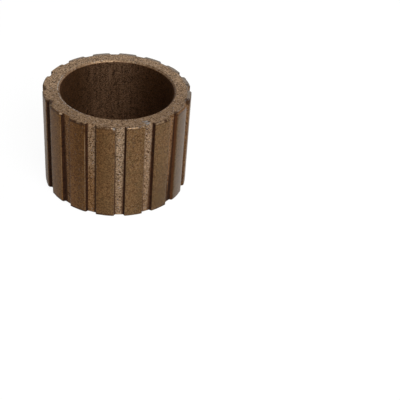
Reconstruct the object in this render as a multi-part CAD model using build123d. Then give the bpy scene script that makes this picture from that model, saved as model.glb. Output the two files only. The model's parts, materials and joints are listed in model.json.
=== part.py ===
from build123d import *
import math
import os

# Grooved sintered bronze bushing: a plain sleeve bearing pressed and sized from bronze powder in one
# piece. The bore carries the shaft. The outside is sixteen flat-topped lands with sixteen shallow
# grooves between them, running from end to end, so only the lands grip the housing.
#
# Own frame: the axis is +Z, the origin is the centre of the lower end face, and one land is centred
# on +X. Millimetres and degrees.

# Driving dimensions
bore_diameter = 20.0
outer_diameter = 26.0  # over the lands
length = 18.4
land_count = 16
groove_depth = 0.62
land_crown_angle = 13.9  # width of a land at its crown, as an angle about the axis
land_foot_angle = 15.6  # width of a land at the groove floor: the walls lean, to leave the die
crown_edge_radius = 0.12
groove_root_radius = 0.15
bore_chamfer = 0.3
land_end_chamfer = 0.2

# Worked out from them
bore_radius = bore_diameter / 2
outer_radius = outer_diameter / 2
floor_radius = outer_radius - groove_depth


def on_circle(radius, angle):
    """The point at this radius and angle about the axis."""
    turn = math.radians(angle)
    return (radius * math.cos(turn), radius * math.sin(turn))


def land_profile():
    """The land on +X: an arc for its crown, two leaning walls, and a heel sunk in the sleeve."""
    half_crown = land_crown_angle / 2
    half_foot = land_foot_angle / 2
    heel_radius = floor_radius - groove_depth
    crown_start = on_circle(outer_radius, -half_crown)
    crown_end = on_circle(outer_radius, half_crown)
    foot_start = on_circle(floor_radius, -half_foot)
    foot_end = on_circle(floor_radius, half_foot)
    heel_start = on_circle(heel_radius, -half_foot)
    heel_end = on_circle(heel_radius, half_foot)
    crown = ThreePointArc(crown_start, (outer_radius, 0), crown_end)
    sides = Polyline(crown_end, foot_end, heel_end, heel_start, foot_start, crown_start)
    return make_face([crown, sides])


def section_profile():
    """The die's outline: the sleeve up to the groove floors, with the lands round it."""
    outline = Circle(floor_radius) + PolarLocations(0, land_count) * land_profile()

    def corners_at(radius):
        """The corners of the outline that lie on this circle."""
        return outline.vertices().filter_by(lambda corner: abs(corner.center().length - radius) < 1e-4)

    outline = fillet(corners_at(outer_radius), crown_edge_radius)
    outline = fillet(corners_at(floor_radius), groove_root_radius)
    return outline - Circle(bore_radius)


def end_bevel():
    """The ring that takes the sharp edge off the upper ends of the lands."""
    overhang = land_end_chamfer
    tip = (outer_radius - land_end_chamfer - overhang, length + overhang)
    toe = (outer_radius + overhang, length - land_end_chamfer - overhang)
    corner = (outer_radius + overhang, length + overhang)
    return revolve(Plane.XZ * make_face(Polyline(tip, toe, corner, close=True)), Axis.Z)


def bushing():
    """The pressed sleeve, with both mouths of the bore chamfered and the lands bevelled at both ends."""
    sleeve = extrude(section_profile(), length)
    mouths = sleeve.faces().filter_by(GeomType.CYLINDER).sort_by(SortBy.AREA)[-1].edges()
    sleeve = chamfer(mouths.filter_by(GeomType.CIRCLE), bore_chamfer)
    upper_bevel = end_bevel()
    lower_bevel = upper_bevel.mirror(Plane.XY.offset(length / 2))
    return sleeve - upper_bevel - lower_bevel


os.makedirs("parts", exist_ok=True)
export_step(bushing(), "parts/bushing.step")
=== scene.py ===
import json
import math

import bmesh
import bpy
from mathutils import Matrix, Vector, noise


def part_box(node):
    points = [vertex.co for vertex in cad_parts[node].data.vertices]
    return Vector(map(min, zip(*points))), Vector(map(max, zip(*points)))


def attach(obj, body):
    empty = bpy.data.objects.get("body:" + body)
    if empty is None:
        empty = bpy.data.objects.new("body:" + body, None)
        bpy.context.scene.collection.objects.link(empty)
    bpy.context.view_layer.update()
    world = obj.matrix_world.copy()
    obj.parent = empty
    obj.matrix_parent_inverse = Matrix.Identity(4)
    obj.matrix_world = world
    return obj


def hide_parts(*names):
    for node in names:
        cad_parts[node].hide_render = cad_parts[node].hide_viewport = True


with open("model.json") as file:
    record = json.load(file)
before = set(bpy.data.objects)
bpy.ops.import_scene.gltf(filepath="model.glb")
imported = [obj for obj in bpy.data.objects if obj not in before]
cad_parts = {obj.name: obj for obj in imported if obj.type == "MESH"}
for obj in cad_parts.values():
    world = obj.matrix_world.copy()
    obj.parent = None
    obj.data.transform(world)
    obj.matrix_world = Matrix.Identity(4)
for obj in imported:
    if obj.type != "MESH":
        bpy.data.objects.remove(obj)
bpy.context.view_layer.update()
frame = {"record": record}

MM = 0.001


# ---- The bushing ---------------------------------------------------------------------------------
# One sleeve pressed from bronze powder, sintered, sized in a second die and soaked in oil. The bore
# and the land crowns are burnished by the sizing die. The groove floors and the end faces stay as
# pressed, coarser and paler.

low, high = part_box("bushing")
length = high.z - low.z
outer_radius = high.x
bore_radius = next(m["dims"]["r_mm"] for m in frame["record"]["mounts"] if m["name"] == "bore") * MM
groove_depth = 0.62 * MM
floor_radius = outer_radius - groove_depth
land_count = 16
pitch = math.tau / land_count
land_crown_angle = 13.9
land_foot_angle = 15.6
half_crown = math.radians(land_crown_angle / 2)
half_foot = math.radians(land_foot_angle / 2)
bore_chamfer = 0.3 * MM
land_end_bevel = 0.15 * MM
crown_edge_round = 0.09 * MM
root_round = 0.11 * MM
touching = 0.01 * MM
same_point = 0.002 * MM


def wall_section(mesh):
    """The loop of edges round the sleeve's wall, cut through the axis, with its bevelled corners."""
    inner_low = mesh.verts.new((bore_radius, 0, 0))
    outer_low = mesh.verts.new((outer_radius, 0, 0))
    outer_high = mesh.verts.new((outer_radius, 0, length))
    inner_high = mesh.verts.new((bore_radius, 0, length))
    mesh.faces.new((inner_low, outer_low, outer_high, inner_high))
    style = {"segments": 1, "profile": 0.5, "affect": "VERTICES", "material": -1}
    bmesh.ops.bevel(mesh, geom=[inner_low, inner_high], offset=bore_chamfer, **style)
    outer_corners = [v for v in mesh.verts if v.co.x > outer_radius - touching]
    bmesh.ops.bevel(mesh, geom=outer_corners, offset=land_end_bevel, **style)
    bmesh.ops.delete(mesh, geom=mesh.faces[:], context="FACES_ONLY")
    return mesh.edges[:]


plain_spacing = 0.5 * MM
worn_spacing = 0.25 * MM


def divide_section(mesh, edges):
    """Cuts the long edges of the wall's section to the size of mesh that the worn surface needs."""
    for edge in edges:
        start, end = (v.co for v in edge.verts)
        along_bore = max(start.x, end.x) < bore_radius + touching
        spacing = plain_spacing if along_bore else worn_spacing
        cuts = round((start - end).length / spacing) - 1
        if cuts > 0:
            bmesh.ops.subdivide_edges(mesh, edges=[edge], cuts=cuts)


crown_steps = 10
floor_steps = 6


def spin_pitches(mesh):
    """Spins the section once round, with stops at every land edge and groove root."""
    bmesh.ops.rotate(mesh, verts=mesh.verts[:], matrix=Matrix.Rotation(-half_crown, 3, "Z"))
    front = mesh.verts[:] + mesh.edges[:]
    crown = (2 * half_crown, crown_steps)
    wall = (half_foot - half_crown, 1)
    groove = (pitch - 2 * half_foot, floor_steps)
    for _ in range(land_count):
        for angle, steps in (crown, wall, groove, wall):
            spun = bmesh.ops.spin(mesh, geom=front, axis=(0, 0, 1), angle=angle, steps=steps)
            front = spun["geom_last"]
    bmesh.ops.remove_doubles(mesh, verts=mesh.verts[:], dist=same_point)


def off_land_centre(point):
    """How far round the axis, in radians, a point lies from the middle of the nearest land."""
    pitches = math.atan2(point.y, point.x) / pitch
    return abs(pitches - round(pitches)) * pitch


def sink_grooves(mesh):
    """Draws the outside in to the groove floors between the lands."""
    for vert in mesh.verts:
        reach = math.hypot(vert.co.x, vert.co.y)
        in_groove = (off_land_centre(vert.co) - half_crown) / (half_foot - half_crown)
        limit = outer_radius + (floor_radius - outer_radius) * min(max(in_groove, 0), 1)
        if reach > limit:
            vert.co.xy *= limit / reach
    bmesh.ops.remove_doubles(mesh, verts=mesh.verts[:], dist=same_point)


same_angle = math.radians(0.05)
within_bevel = land_end_bevel * 1.1


def round_corners(mesh, angle, reach, width, segments):
    """Rounds the upright edges that stand at this angle from the land's middle, this far out."""
    def stands_there(vert):
        close = abs(off_land_centre(vert.co) - angle) < same_angle
        return close and math.hypot(vert.co.x, vert.co.y) > reach - within_bevel

    def upright(edge):
        return abs(edge.verts[0].co.z - edge.verts[1].co.z) > touching

    corners = [e for e in mesh.edges if upright(e) and all(stands_there(v) for v in e.verts)]
    bmesh.ops.bevel(mesh, geom=corners, offset=width, segments=segments, profile=0.5,
                    affect="EDGES", material=-1)


def on_bushing(azimuth, reach, height):
    """A spot in mm, this far from the axis. Azimuth 0 is in front, and 90 to the right."""
    heading = math.radians(azimuth)
    return Vector((math.sin(heading) * reach, -math.cos(heading) * reach, height))


def ripple(point, size):
    """Smooth noise from -1 to 1 over the sleeve, with waves of about this many mm."""
    return noise.noise(point / (size * MM))


end_wear_reach = 0.2 * MM
side_wear_reach = 0.12 * MM
face_wear_reach = 0.1 * MM
rough_size = 0.5
chip_size = 1.0
wave_size = 2.2
wave_depth = 0.005
chip_offset = Vector((0.03, 0, 0))
side_rub = 0.02
side_chip = 0.05
end_rub = 0.03
end_chip = 0.08
face_rub = 0.015
face_chip = 0.03


def wear_edges(mesh):
    """Rubs the corners of the lands down unevenly, and leaves the broad faces very slightly wavy."""
    for vert in mesh.verts:
        point = vert.co.copy()
        reach = math.hypot(point.x, point.y)
        if reach < bore_radius + touching:
            continue
        to_end = min(point.z, length - point.z)
        round_from_edge = abs(off_land_centre(point) - half_crown) * outer_radius
        on_land = min(max((reach - floor_radius) / (outer_radius - floor_radius), 0), 1)
        end_edge = math.exp(-to_end / end_wear_reach) * on_land
        side_edge = math.exp(-round_from_edge / side_wear_reach) * on_land
        rough = 0.5 + 0.5 * ripple(point, rough_size)
        chip = min(max(ripple(point + chip_offset, chip_size) - 0.2, 0) * 3, 1)
        sunk = wave_depth * (1 + ripple(point, wave_size))
        sunk += side_edge * (side_rub * rough + side_chip * chip)
        sunk += end_edge * (end_rub * rough + end_chip * chip)
        vert.co.xy *= 1 - sunk * MM / reach
        lowered = (face_rub * rough + face_chip * chip) * on_land * math.exp(-to_end / face_wear_reach) * MM
        vert.co.z += lowered if point.z < length / 2 else -lowered


def dent(mesh, spot, width, depth, push):
    """Moves the surface round a spot, width across and by up to depth in mm, the way push points."""
    for vert in mesh.verts:
        closeness = 1 - (vert.co - spot * MM).length / (width * 0.5 * MM)
        if closeness > 0:
            vert.co += push.normalized() * (depth * MM) * closeness * closeness * (3 - 2 * closeness)


sleeve = bmesh.new()
divide_section(sleeve, wall_section(sleeve))
spin_pitches(sleeve)
sink_grooves(sleeve)
round_corners(sleeve, half_crown, outer_radius, crown_edge_round, 3)
round_corners(sleeve, half_foot, floor_radius, root_round, 2)
wear_edges(sleeve)

# knocks and torn spots go in, and burrs stand out
knocked_corner = on_bushing(6.4, 12.95, 18.3)
knocked_face = on_bushing(32.5, 11.9, 18.4)
torn_left = on_bushing(-24, 12.95, 18.25)
torn_right = on_bushing(-18.6, 12.95, 18.3)
bruised_edge = on_bushing(47, 12.9, 18.3)
dropped_pore = on_bushing(-48.6, 11.9, 18.4)
down = Vector((0, 0, -1))
dent(sleeve, knocked_corner, width=1.1, depth=0.22, push=Vector((0, 0.6, -1)))
dent(sleeve, knocked_face, width=1.3, depth=0.07, push=down)
dent(sleeve, torn_left, width=0.6, depth=0.05, push=Vector((0.2, 0.6, -1)))
dent(sleeve, torn_right, width=0.6, depth=0.06, push=Vector((0.2, 0.6, -1)))
dent(sleeve, bruised_edge, width=0.9, depth=0.16, push=Vector((-0.5, 0.5, -1)))
dent(sleeve, dropped_pore, width=0.6, depth=0.10, push=down)

burr_corner = on_bushing(-38.2, 12.95, 18.25)
burr_on_rim = on_bushing(95, 10.1, 18.25)
dent(sleeve, burr_corner, width=0.7, depth=0.30, push=Vector((1, 0.5, 0)))
dent(sleeve, burr_on_rim, width=0.6, depth=0.20, push=Vector((-1, 0, 0)))
bmesh.ops.recalc_face_normals(sleeve, faces=sleeve.faces[:])

sharp_from = math.radians(38)
bushing_mesh = bpy.data.meshes.new("sintered_bushing")
sleeve.to_mesh(bushing_mesh)
sleeve.free()
bushing_mesh.polygons.foreach_set("use_smooth", [True] * len(bushing_mesh.polygons))
bushing_mesh.set_sharp_from_angle(angle=sharp_from)
bushing = bpy.data.objects.new("sintered_bushing", bushing_mesh)
bpy.context.scene.collection.objects.link(bushing)
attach(bushing, "root")
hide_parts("bushing")


class Signal:
    """A value that varies over a surface. Arithmetic on it adds the Math nodes that work it out."""

    def __init__(self, finish, socket):
        self.finish = finish
        self.socket = socket

    def maths(self, operation, *terms):
        return self.finish.node("ShaderNodeMath", {"operation": operation}, dict(enumerate(terms)))

    def __add__(self, other):
        return self.maths("ADD", self, other)

    def __sub__(self, other):
        return self.maths("SUBTRACT", self, other)

    def __rsub__(self, other):
        return self.maths("SUBTRACT", other, self)

    def __mul__(self, other):
        return self.maths("MULTIPLY", self, other)

    def __truediv__(self, other):
        return self.maths("DIVIDE", self, other)

    def __or__(self, other):
        return self.maths("MAXIMUM", self, other)

    def __abs__(self):
        return self.maths("ABSOLUTE", self)

    __radd__ = __add__
    __rmul__ = __mul__

    def channel(self, name):
        """One of the three numbers in a random colour."""
        return self.finish.node("ShaderNodeSeparateColor", {}, {0: self}, name)

    def also(self, name):
        """Another output of the node that this comes from."""
        return Signal(self.finish, self.socket.node.outputs[name])


class Finish:
    """The node tree of one material or world."""

    def __init__(self, owner):
        owner.use_nodes = True
        self.tree = owner.node_tree
        self.tree.nodes.clear()

    def node(self, kind, settings, inputs, output=0):
        """Adds a node of this kind, settings first, then the values or links of its sockets."""
        made = self.tree.nodes.new(kind)
        for name, value in settings.items():
            setattr(made, name, value)
        for name, value in inputs.items():
            if isinstance(value, Signal):
                self.tree.links.new(value.socket, made.inputs[name])
            else:
                made.inputs[name].default_value = value
        return Signal(self, made.outputs[output]) if len(made.outputs) else made

    def rise(self, value, start, end):
        """0 up to start, 1 from end on, and a smooth rise between them."""
        return self.node("ShaderNodeMapRange", {"interpolation_type": "SMOOTHSTEP"},
                         {"Value": value, "From Min": start, "From Max": end})

    def fall(self, value, start, end):
        """1 up to start, 0 from end on, and a smooth fall between them."""
        return 1 - self.rise(value, start, end)

    def blend(self, amount, under, over):
        """The colour under, with this amount of the colour over laid on it."""
        return self.node("ShaderNodeMix", {"data_type": "RGBA"}, {0: amount, 6: under, 7: over}, 2)


def colour(red, green, blue):
    """A paint-chart colour, 0 to 255 a channel, as the shader wants it."""
    def linear(channel):
        if channel < 11:
            return channel / 255 / 12.92
        return ((channel / 255 + 0.055) / 1.055) ** 2.4

    return (linear(red), linear(green), linear(blue), 1)


bronze = bpy.data.materials.new("sintered_bronze")
look = Finish(bronze)

# where on the bushing: lengths are in mm, and off_centre is in degrees from the nearest land's middle
position = look.node("ShaderNodeTexCoord", {}, {}, "Object")
position_mm = look.node("ShaderNodeVectorMath", {"operation": "SCALE"}, {0: position, "Scale": 1 / MM})
across = look.node("ShaderNodeVectorMath", {"operation": "MULTIPLY"}, {0: position_mm, 1: (1, 1, 0)})
from_axis_mm = look.node("ShaderNodeVectorMath", {"operation": "LENGTH"}, {0: across}, "Value")
x_mm = look.node("ShaderNodeSeparateXYZ", {}, {0: position_mm}, "X")
y_mm = look.node("ShaderNodeSeparateXYZ", {}, {0: position_mm}, "Y")
z_mm = look.node("ShaderNodeSeparateXYZ", {}, {0: position_mm}, "Z")
pitches_round = y_mm.maths("ARCTAN2", y_mm, x_mm) / pitch
to_the_right = pitches_round - pitches_round.maths("ROUND", pitches_round)
off_centre = abs(to_the_right) * math.degrees(pitch)
from_end = length / 2 / MM - abs(z_mm - length / 2 / MM)


def near(spot, full, none):
    """1 within full mm of a spot on the bushing, and fading to 0 at none mm."""
    away = look.node("ShaderNodeVectorMath", {"operation": "DISTANCE"}, {0: position_mm, 1: spot}, "Value")
    return 1 - look.rise(away, full, none)


line_reach = 12.4


def near_line(azimuth, full, none):
    """1 within full mm of the upright line at this azimuth, and fading to 0 at none mm."""
    line = on_bushing(azimuth, line_reach, 0)
    away = look.node("ShaderNodeVectorMath", {"operation": "DISTANCE"}, {0: across, 1: line}, "Value")
    return 1 - look.rise(away, full, none)


def groove_at(azimuth):
    """1 in the groove at this azimuth, 0 elsewhere."""
    return near_line(azimuth, 0.95, 1.15)


def band(value, middle, full, none):
    """1 where the value is within full of the middle, and fading to 0 at none from it."""
    return 1 - look.rise(abs(value - middle), full, none)


# the azimuths of lands and grooves with their own soiling, rubbing, painted shade and painted sheen
outer_left_land = -67.5
left_land = -45
left_groove = -33.75
front_left_groove = -11.25
right_groove = 33.75
outer_right_groove = 56.25
outer_right_land = 67.5
far_right_groove = 78.75

# the powder: grains of uneven tone, open pores, and finer and broader unevenness over them
powder = look.node("ShaderNodeTexVoronoi", {}, {"Vector": position_mm, "Scale": 6.8}, "Color")
grain_tone = powder.channel("Red")
grain_kind = powder.channel("Green")
pores = look.node("ShaderNodeTexVoronoi", {}, {"Vector": position_mm, "Scale": 4.2}, "Color")
pore_heart = look.fall(pores.also("Distance"), 0.2, 0.5)
fine = look.node("ShaderNodeTexNoise", {}, {"Vector": position_mm, "Scale": 5.0, "Detail": 3.0}, "Fac")
cloud = look.node("ShaderNodeTexNoise", {}, {"Vector": position_mm, "Scale": 0.5, "Detail": 3.0}, "Fac")
drawn = look.node("ShaderNodeVectorMath", {"operation": "MULTIPLY"}, {0: position_mm, 1: (1, 1, 0.05)})
streak = look.node("ShaderNodeTexNoise", {}, {"Vector": drawn, "Scale": 3.0, "Detail": 2.0}, "Fac")
turned = look.node("ShaderNodeVectorMath", {"operation": "MULTIPLY"}, {0: position_mm, 1: (1, 1, 3)})
sizing_marks = look.node("ShaderNodeTexNoise", {}, {"Vector": turned, "Scale": 4.0, "Detail": 1.0}, "Fac")

# where the dies have rubbed
on_crown = look.rise(from_axis_mm, 12.72, 12.9)
in_bore = look.fall(from_axis_mm, 10.02, 10.08)
at_end = look.fall(from_end, 0.02, 0.06)
outside = look.rise(from_axis_mm, 12.2, 12.3)
burnished = (on_crown | in_bore) * (1 - at_end)

# dark in the groove roots, partly oily dirt and partly painted shade in the recess, wider in two of the
# grooves and towards the bottom
low_down = look.fall(z_mm, 1, 13)
grimy_shaded_left = groove_at(left_groove) * (0.52 + low_down * 0.05)
grimy_shaded_right = groove_at(outer_right_groove) * (0.3 + low_down * 0.5)
grimy_shaded_grooves = grimy_shaded_left | grimy_shaded_right
grimy_shaded_grooves = grimy_shaded_grooves | groove_at(right_groove) * 0.2
right_side = look.rise(to_the_right, -0.01, 0.01)
sheltered_side = right_side * (1 - grimy_shaded_grooves)
dirt_and_shade_edge = 8.9 + cloud * 0.8 - z_mm * 0.07 + grimy_shaded_grooves * 2.6 - sheltered_side * 1.1
dirt_and_shade = look.fall(off_centre - dirt_and_shade_edge, -0.9, 0.9) * outside * (1 - on_crown) * (1 - at_end)
dirt_and_shade = dirt_and_shade * (1 - (1 - right_side) * groove_at(left_groove) * 0.85)

# the far sides, with less of the dirt and painted shade
sides_less_dark = near_line(88, 3, 6.6) * (1 - low_down * 0.4)
sides_less_dark = sides_less_dark | near_line(-79, 0.8, 2) * 0.5
dirt_and_shade = dirt_and_shade * (1 - sides_less_dark * 0.7)

# grime and painted shade on the groove walls, broken up on the right of the lands in front
in_wall = band(off_centre, 7.4, 0.6, 0.9) * look.fall(from_axis_mm, 12.84, 12.94)
in_wall = in_wall * outside * (1 - at_end) * (1 - sides_less_dark * 0.9)
in_wall = in_wall * (1 - sheltered_side * (look.rise(x_mm, -3, -1.5) * 0.45 + look.rise(x_mm, 3, 5) * 0.4))
in_wall = in_wall * (1 - (1 - right_side) * near_line(-29.5, 1.0, 1.3))
in_wall = in_wall * (1 - right_side * look.rise(x_mm, -1, 1) * look.fall(fine, 0.42, 0.54) * 0.7)

# land corners, the bore's rim and the land ends: rubbed bright in places, with painted highlights where the
# corners face the front and right and on the back of the rim, a painted sheen line along the rim's left
# edge, a painted shadow line under the land ends, and a dark line along the top face's outer edge in front
corner = look.rise(from_axis_mm, 12.7, 12.82) * look.fall(from_end, 0.18, 0.32)
corner = corner * look.rise(from_end, 0.01, 0.04)
highlit_front_corners = near_line(24, 2.8, 7.5)
on_rim = look.fall(from_axis_mm, 10.25, 10.4) * look.fall(from_end, 0.24, 0.3)
rim_highlight = on_rim * near_line(189, 5.0, 7.2)
rim_sheen_line = band(from_axis_mm, 10.34, 0.05, 0.12) * at_end * near_line(-62, 7.0, 9.5)
rim_sheen_line = rim_sheen_line * look.rise(grain_tone, 0.25, 0.7)
side_corner = band(off_centre, 6.75, 0.1, 0.45) * look.rise(from_axis_mm, 12.75, 12.95)
broken = look.rise(fine + cloud * 0.6 + grain_tone * 0.2, 0.9, 1.04)
broken_corner = look.rise(fine + cloud * 0.5 + grain_tone * 0.4 + highlit_front_corners * 0.35, 1.1, 1.25)
worn_bright_and_highlit = (corner * broken_corner * 0.85) | (side_corner * broken * 0.3)
sliver = near(burr_corner, 0.22, 0.4) * look.fall(from_end, 0.15, 0.3)
end_shadow_lines = band(from_end, 0.32, 0.06, 0.2) * look.rise(from_axis_mm, 12.6, 12.8)
end_shadow_lines = end_shadow_lines * look.rise(fine + cloud * 0.5, 0.6, 0.8) * (1 - highlit_front_corners * 0.7)
dark_line_on_top_edge = look.rise(from_axis_mm, 12.55, 12.72) * at_end * highlit_front_corners
dark_line_on_top_edge = dark_line_on_top_edge * look.rise(grain_tone + fine, 0.5, 0.8)
end_shadow_lines = (end_shadow_lines | dark_line_on_top_edge) * (1 - worn_bright_and_highlit)

# the end face: as pressed, with painted shade towards the front and a painted grey sheen on the land ends
# at the back
dark_grain = look.fall(grain_tone, 0.16, 0.32)
end_face = look.blend(grain_tone, colour(74, 51, 29), colour(186, 157, 126))
end_face = look.blend(dark_grain * 0.85, end_face, colour(34, 22, 12))
end_face = look.blend(grain_kind * 0.3, end_face, colour(116, 86, 58))
front_shade = look.fall(y_mm - x_mm * 0.2, -11, 5) * 0.32
end_face = look.blend(front_shade, end_face, colour(84, 58, 32))
smeared = near_line(-50, 3, 8) | near_line(78, 4, 11)
end_face = look.blend(smeared * 0.18, end_face, colour(66, 45, 26))
land_top_sheen = look.rise(from_axis_mm, 12.0, 12.5) * look.rise(y_mm + x_mm * 0.5, 0, 8)
end_face = look.blend(land_top_sheen * 0.65, end_face, colour(122, 118, 112))

# the groove floors: as pressed, darker brown towards the bottom, with oil stain and painted shade at the
# front left and painted shade in the grooves to the left and right
groove_floor = look.blend(grain_tone, colour(88, 64, 41), colour(176, 150, 122))
groove_floor = look.blend(dark_grain * 0.8, groove_floor, colour(50, 33, 20))
groove_floor = look.blend(grimy_shaded_grooves * 0.7, groove_floor, colour(106, 62, 24))
oil_and_shade_front_left = near_line(-20, 1.5, 7) * (0.64 - low_down * 0.16)
stained_and_shaded = (oil_and_shade_front_left * 0.6 + low_down * 0.25) | groove_at(front_left_groove) * look.fall(z_mm, 6, 15) * 0.85
stained_and_shaded = stained_and_shaded | groove_at(left_groove) * 0.75 | groove_at(outer_right_groove) * 0.65
stained_and_shaded = stained_and_shaded | groove_at(far_right_groove) * 0.7
stain_and_shade_grain = look.blend(grain_tone, colour(62, 34, 10), colour(148, 106, 62))
groove_floor = look.blend(stained_and_shaded, groove_floor, stain_and_shade_grain)
pressed = look.blend(at_end | (1 - outside), groove_floor, end_face)

# the land crowns: burnished brown, soaked darker at the left, with oil and painted shade on the front-left
# lands and a painted grey sheen at the far right
tone = grain_tone * 0.8 + fine * 0.2
crown_skin = look.blend(tone, colour(36, 19, 4), colour(140, 110, 75))
crown_skin = look.blend(grain_kind * 0.4, crown_skin, colour(106, 66, 34))
olive = look.rise(cloud, 0.48, 0.6) * look.rise(x_mm, -4, 0)
crown_skin = look.blend(olive * 0.2, crown_skin, colour(94, 78, 50))
oiled_shaded_grain = look.blend(tone, colour(46, 21, 2), colour(99, 63, 21))
crown_skin = look.blend(oil_and_shade_front_left * 1.3, crown_skin, oiled_shaded_grain)
rubbed_side = near_line(-30, 0.8, 2.2)
rubbed_grain = look.blend(tone, colour(80, 46, 16), colour(150, 106, 62))
crown_skin = look.blend(rubbed_side * (0.2 + low_down * 0.2), crown_skin, rubbed_grain)
oiled_land = near_line(left_land, 2, 3) * 0.85
soaked_grain = look.blend(tone, colour(64, 36, 8), colour(132, 92, 44))
crown_skin = look.blend(oiled_land, crown_skin, soaked_grain)
oiled_foot = near_line(outer_left_land, 2, 3) * low_down * 0.5
crown_skin = look.blend(oiled_foot * 0.6, crown_skin, colour(62, 42, 20))
grey_sheen_land = near_line(outer_right_land, 2, 3)
painted_sheen_grain = look.blend(tone, colour(46, 32, 19), colour(98, 79, 58))
crown_skin = look.blend(grey_sheen_land * 0.55, crown_skin, painted_sheen_grain)
shaded_land = near_line(46, 3, 6) * (0.12 + low_down * 0.35)
crown_skin = look.blend(shaded_land, crown_skin, colour(72, 55, 34))

# the bore: smooth, its skin darker than the crowns', partly painted shade, with a painted highlight band up
# the back
bore_tone = grain_tone * 0.7 + streak * 0.3
bore_skin = look.blend(bore_tone, colour(18, 8, 4), colour(120, 84, 55))
bore_highlight_band = near_line(194, 2.6, 8.6)
bore_highlight_band = bore_highlight_band * (0.46 + look.rise(z_mm, 3, 10) * 0.3 + look.rise(z_mm, 11, 17) * 0.24)
highlight_streaks = look.rise(grain_tone + streak * 1.2, 0.5, 1.8)
bore_skin = look.blend(bore_highlight_band * highlight_streaks, bore_skin, colour(156, 122, 94))

# the skins together, with dirt, grime and painted shade in the grooves, painted light on one lit groove
# wall, and dark groove mouths at the top over them
worn_smooth = look.blend(in_bore, crown_skin, bore_skin)
skin = look.blend(burnished, pressed, worn_smooth)
skin = look.blend(dirt_and_shade * 0.85, skin, colour(62, 34, 17))
# near-black in the two darkest grooves, partly caked dirt and partly painted shade
caked_and_shaded = dirt_and_shade * (groove_at(outer_right_groove) | groove_at(left_groove) * 0.6) * (0.3 + low_down * 0.5)
skin = look.blend(caked_and_shaded, skin, colour(26, 13, 6))
# grime and painted shade on the groove walls
wall_grime_and_shade = look.blend(pores.channel("Blue"), colour(26, 12, 5), colour(62, 36, 19))
skin = look.blend(in_wall, skin, wall_grime_and_shade)
# painted light on the lit wall of the outer right groove, over its painted shade
lit_wall = in_wall * near_line(60.2, 0.5, 0.8) * look.rise(from_axis_mm, 12.45, 12.55)
skin = look.blend(lit_wall, skin, colour(82, 50, 27))
# dark groove mouths at the top, partly clogged and partly painted shade
clogged_and_shaded = near(on_bushing(83, 12.6, 18.2), 0.45, 0.85)
clogged_and_shaded = clogged_and_shaded | near(on_bushing(61, 12.5, 18.3), 0.3, 0.6)
clogged_and_shaded = clogged_and_shaded | near(on_bushing(107, 12.5, 18.4), 0.15, 0.35)
clogged_and_shaded = clogged_and_shaded | near(on_bushing(-57, 12.4, 18.3), 0.35, 0.7)
skin = look.blend(clogged_and_shaded * 0.85, skin, colour(46, 26, 13))

# the corners and rims over the dirt and shade, with their painted highlights, sheen and shadow lines
skin = look.blend(corner * 0.75, skin, colour(62, 42, 26))
oily_corner = look.rise(from_axis_mm, 12.6, 12.75) * look.fall(from_end, 0.3, 0.5)
skin = look.blend(oily_corner * near_line(outer_right_land, 2, 3) * 0.8, skin, colour(92, 62, 35))
# a pale rubbed edge on the right of the front-left lands, partly a painted highlight
pale_edge_highlight = band(off_centre, 6.7, 0.1, 0.35) * look.rise(from_axis_mm, 12.8, 12.95)
pale_edge_highlight = pale_edge_highlight * right_side * near_line(-27, 3, 4.5)
pale_edge_highlight = pale_edge_highlight * look.rise(from_end, 1, 4) * look.rise(fine + streak, 0.7, 1.1)
skin = look.blend(pale_edge_highlight * 0.65, skin, colour(136, 114, 88))
# painted shadow lines at the land ends
skin = look.blend(end_shadow_lines * 0.8, skin, colour(44, 26, 14))
skin = look.blend(on_rim * 0.6, skin, colour(86, 62, 42))
# rubbed bright corners, partly painted highlights
skin = look.blend(worn_bright_and_highlit, skin, colour(127, 104, 79))
# painted highlight on the back of the bore's rim
skin = look.blend(rim_highlight * (0.1 + broken * 0.85), skin, colour(154, 130, 103))
skin = look.blend(sliver * 0.7, skin, colour(186, 158, 128))
# painted sheen line along the rim's left edge
skin = look.blend(rim_sheen_line * 0.6, skin, colour(180, 178, 174))

# open pores and bare grains over everything
open_pore = look.rise(pores.channel("Red"), 0.86, 0.9) * pore_heart * (1 - burnished * 0.6)
skin = look.blend(open_pore * 0.7, skin, colour(38, 25, 17))
bare_grain = look.rise(pores.channel("Green"), 0.86, 0.9) * pore_heart * (1 - burnished * 0.75)
bare_grain = bare_grain * (1 - (dirt_and_shade | in_wall))
skin = look.blend(bare_grain * 0.45, skin, colour(154, 158, 164))

# knocks: fresh grey metal, and dark torn places
fresh_corner = near(knocked_corner, 0.2, 0.45)
fresh_face = near(knocked_face, 0.4, 0.65) * look.rise(abs(from_axis_mm - 11.9), 0.06, 0.18)
fresh_grain = look.rise(grain_tone + fine * 2, 1.2, 1.5)
skin = look.blend(fresh_corner * fresh_grain * 0.75, skin, colour(104, 103, 100))
skin = look.blend(fresh_face * fresh_grain * 0.9, skin, colour(142, 144, 144))
skin = look.blend((fresh_corner | fresh_face) * (1 - fresh_grain) * 0.6, skin, colour(54, 44, 36))
torn = near(torn_left, 0.12, 0.3) | near(torn_right, 0.15, 0.3)
torn = torn | near(bruised_edge, 0.2, 0.45)
torn = torn | near(on_bushing(30.3, 12.4, 17.95), 0.12, 0.3)
torn = torn | near(on_bushing(32.6, 12.4, 18.1), 0.1, 0.25)
torn = torn | near(on_bushing(35, 11.8, 18.4), 0.12, 0.3)
torn = torn | near(dropped_pore, 0.12, 0.28)
skin = look.blend(torn * look.rise(fine, 0.35, 0.5) * 0.85, skin, colour(40, 24, 15))

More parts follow.
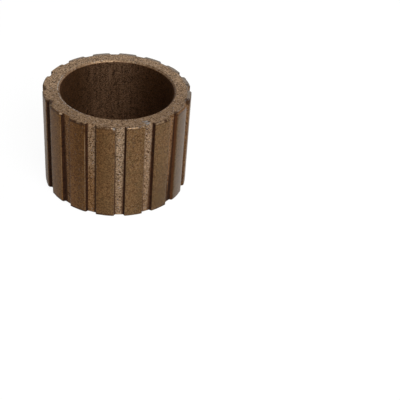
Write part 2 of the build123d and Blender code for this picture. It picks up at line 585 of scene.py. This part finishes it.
# the relief of the grain, the sheen and the metal
relief = (grain_tone + fine) * (1 - burnished * 0.8) - open_pore * 1.5 + sizing_marks * in_bore * 1.5
relief_depth = 0.03 * MM
bumps = {"Height": relief, "Strength": 0.4, "Distance": relief_depth}
bump = look.node("ShaderNodeBump", {}, bumps, "Normal")
edge_on = look.node("ShaderNodeLayerWeight", {}, {"Blend": 0.5}, "Facing")
haze = grey_sheen_land * on_crown * look.rise(edge_on, 0.4, 0.8) * 0.4
roughness = 0.58 - burnished * 0.17 + in_bore * 0.04
roughness = roughness - (worn_bright_and_highlit | rim_highlight) * 0.15 + dirt_and_shade * 0.1 + oiled_foot * 0.12
oily = dirt_and_shade | in_wall | oil_and_shade_front_left | oiled_land | clogged_and_shaded | oiled_foot
metal = 0.4 + in_bore * 0.35 + worn_bright_and_highlit * 0.2 - oily * 0.35
bsdf = look.node("ShaderNodeBsdfPrincipled", {}, {
    "Base Color": skin,
    "Coat Weight": haze,
    "Coat Roughness": 0.4,
    "Roughness": roughness,
    "Metallic": metal,
    "Specular IOR Level": 0.08,
    "Normal": bump,
})
look.node("ShaderNodeOutputMaterial", {}, {"Surface": bsdf})
bushing_mesh.materials.append(bronze)


# ---- The table -----------------------------------------------------------------------------------
# A seamless white sweep, wide enough to fill every view.

table_reach = 3
table_gap = 0.01 * MM
table_mesh = bpy.data.meshes.new("table")
sweep = bmesh.new()
bmesh.ops.create_grid(sweep, x_segments=1, y_segments=1, size=table_reach)
bmesh.ops.translate(sweep, verts=sweep.verts[:], vec=(0, 0, -table_gap))
sweep.to_mesh(table_mesh)
sweep.free()
table = bpy.data.objects.new("table", table_mesh)
bpy.context.scene.collection.objects.link(table)


def seen_directly(finish):
    """1 for what the camera sees, straight or in a reflection, and 0 for light on its way."""
    ray = finish.node("ShaderNodeLightPath", {}, {}, "Is Camera Ray")
    return ray | ray.also("Is Glossy Ray") | ray.also("Is Transmission Ray")


white_paper = bpy.data.materials.new("white_paper")
paper_look = Finish(white_paper)
table_place = paper_look.node("ShaderNodeTexCoord", {}, {}, "Object")
from_axis = paper_look.node("ShaderNodeVectorMath", {"operation": "LENGTH"}, {0: table_place}, "Value")
clear_of_bore = paper_look.rise(from_axis, bore_radius, floor_radius)
paper = paper_look.node("ShaderNodeBsdfDiffuse", {}, {"Color": (0.8, 0.8, 0.8, 1)})
white = (1, 1, 1, 1)
glow = paper_look.node("ShaderNodeEmission", {}, {"Color": white, "Strength": 1.05})
camera_ray = paper_look.node("ShaderNodeLightPath", {}, {}, "Is Camera Ray")
lit = (camera_ray | seen_directly(paper_look) * clear_of_bore) * 0.9
shown = paper_look.node("ShaderNodeMixShader", {}, {0: lit, 1: paper, 2: glow})
paper_look.node("ShaderNodeOutputMaterial", {}, {"Surface": shown})
table_mesh.materials.append(white_paper)


# ---- The light -----------------------------------------------------------------------------------
# A white room, with one large softbox in front to the right and a second behind, over the table.

room = bpy.data.worlds.new("white_room")
room_look = Finish(room)
dim_white = room_look.node("ShaderNodeBackground", {}, {"Color": white, "Strength": 0.17})
full_white = room_look.node("ShaderNodeBackground", {}, {"Color": white, "Strength": 1.0})
seen = room_look.node("ShaderNodeMixShader", {}, {0: seen_directly(room_look), 1: dim_white, 2: full_white})
room_look.node("ShaderNodeOutputWorld", {}, {"Surface": seen})
bpy.context.scene.world = room


def softbox(name, azimuth, elevation, distance, size, power):
    """A square lamp aimed at the bushing. Azimuth 0 is in front, and 90 to the right."""
    lamp = bpy.data.lights.new(name, "AREA")
    lamp.size = size
    lamp.energy = power
    bearing = math.radians(azimuth)
    climb = math.radians(elevation)
    level = math.cos(climb)
    away = Vector((math.sin(bearing) * level, -math.cos(bearing) * level, math.sin(climb)))
    holder = bpy.data.objects.new(name, lamp)
    holder.location = Vector((0, 0, length / 2)) + away * distance
    holder.rotation_euler = away.to_track_quat("Z", "Y").to_euler()
    bpy.context.scene.collection.objects.link(holder)


softbox("key_softbox", azimuth=35, elevation=42, distance=0.6, size=0.3, power=3.4)
softbox("back_softbox", azimuth=125, elevation=28, distance=0.6, size=0.4, power=1.0)


# ---- The camera ----------------------------------------------------------------------------------
# In front of the bushing and above it, rolled a little, with the bushing up and to the left of centre.

camera_place = Vector((18.779, -131.161, 95.681)) * MM
camera_swing = math.radians(1.124)
camera_drop = 37.267
camera_roll = math.radians(5.394)
camera_data = bpy.data.cameras.new("camera")
camera_data.lens = 77.92
camera_data.sensor_width = 36
camera_data.clip_start = 0.01
camera = bpy.data.objects.new("camera", camera_data)
swing = Matrix.Rotation(camera_swing, 4, "Z")
tilt = Matrix.Rotation(math.radians(90 - camera_drop), 4, "X")
roll = Matrix.Rotation(camera_roll, 4, "Z")
camera.matrix_world = Matrix.Translation(camera_place) @ swing @ tilt @ roll
bpy.context.scene.collection.objects.link(camera)
bpy.context.scene.camera = camera

bpy.context.scene.view_settings.view_transform = "Standard"
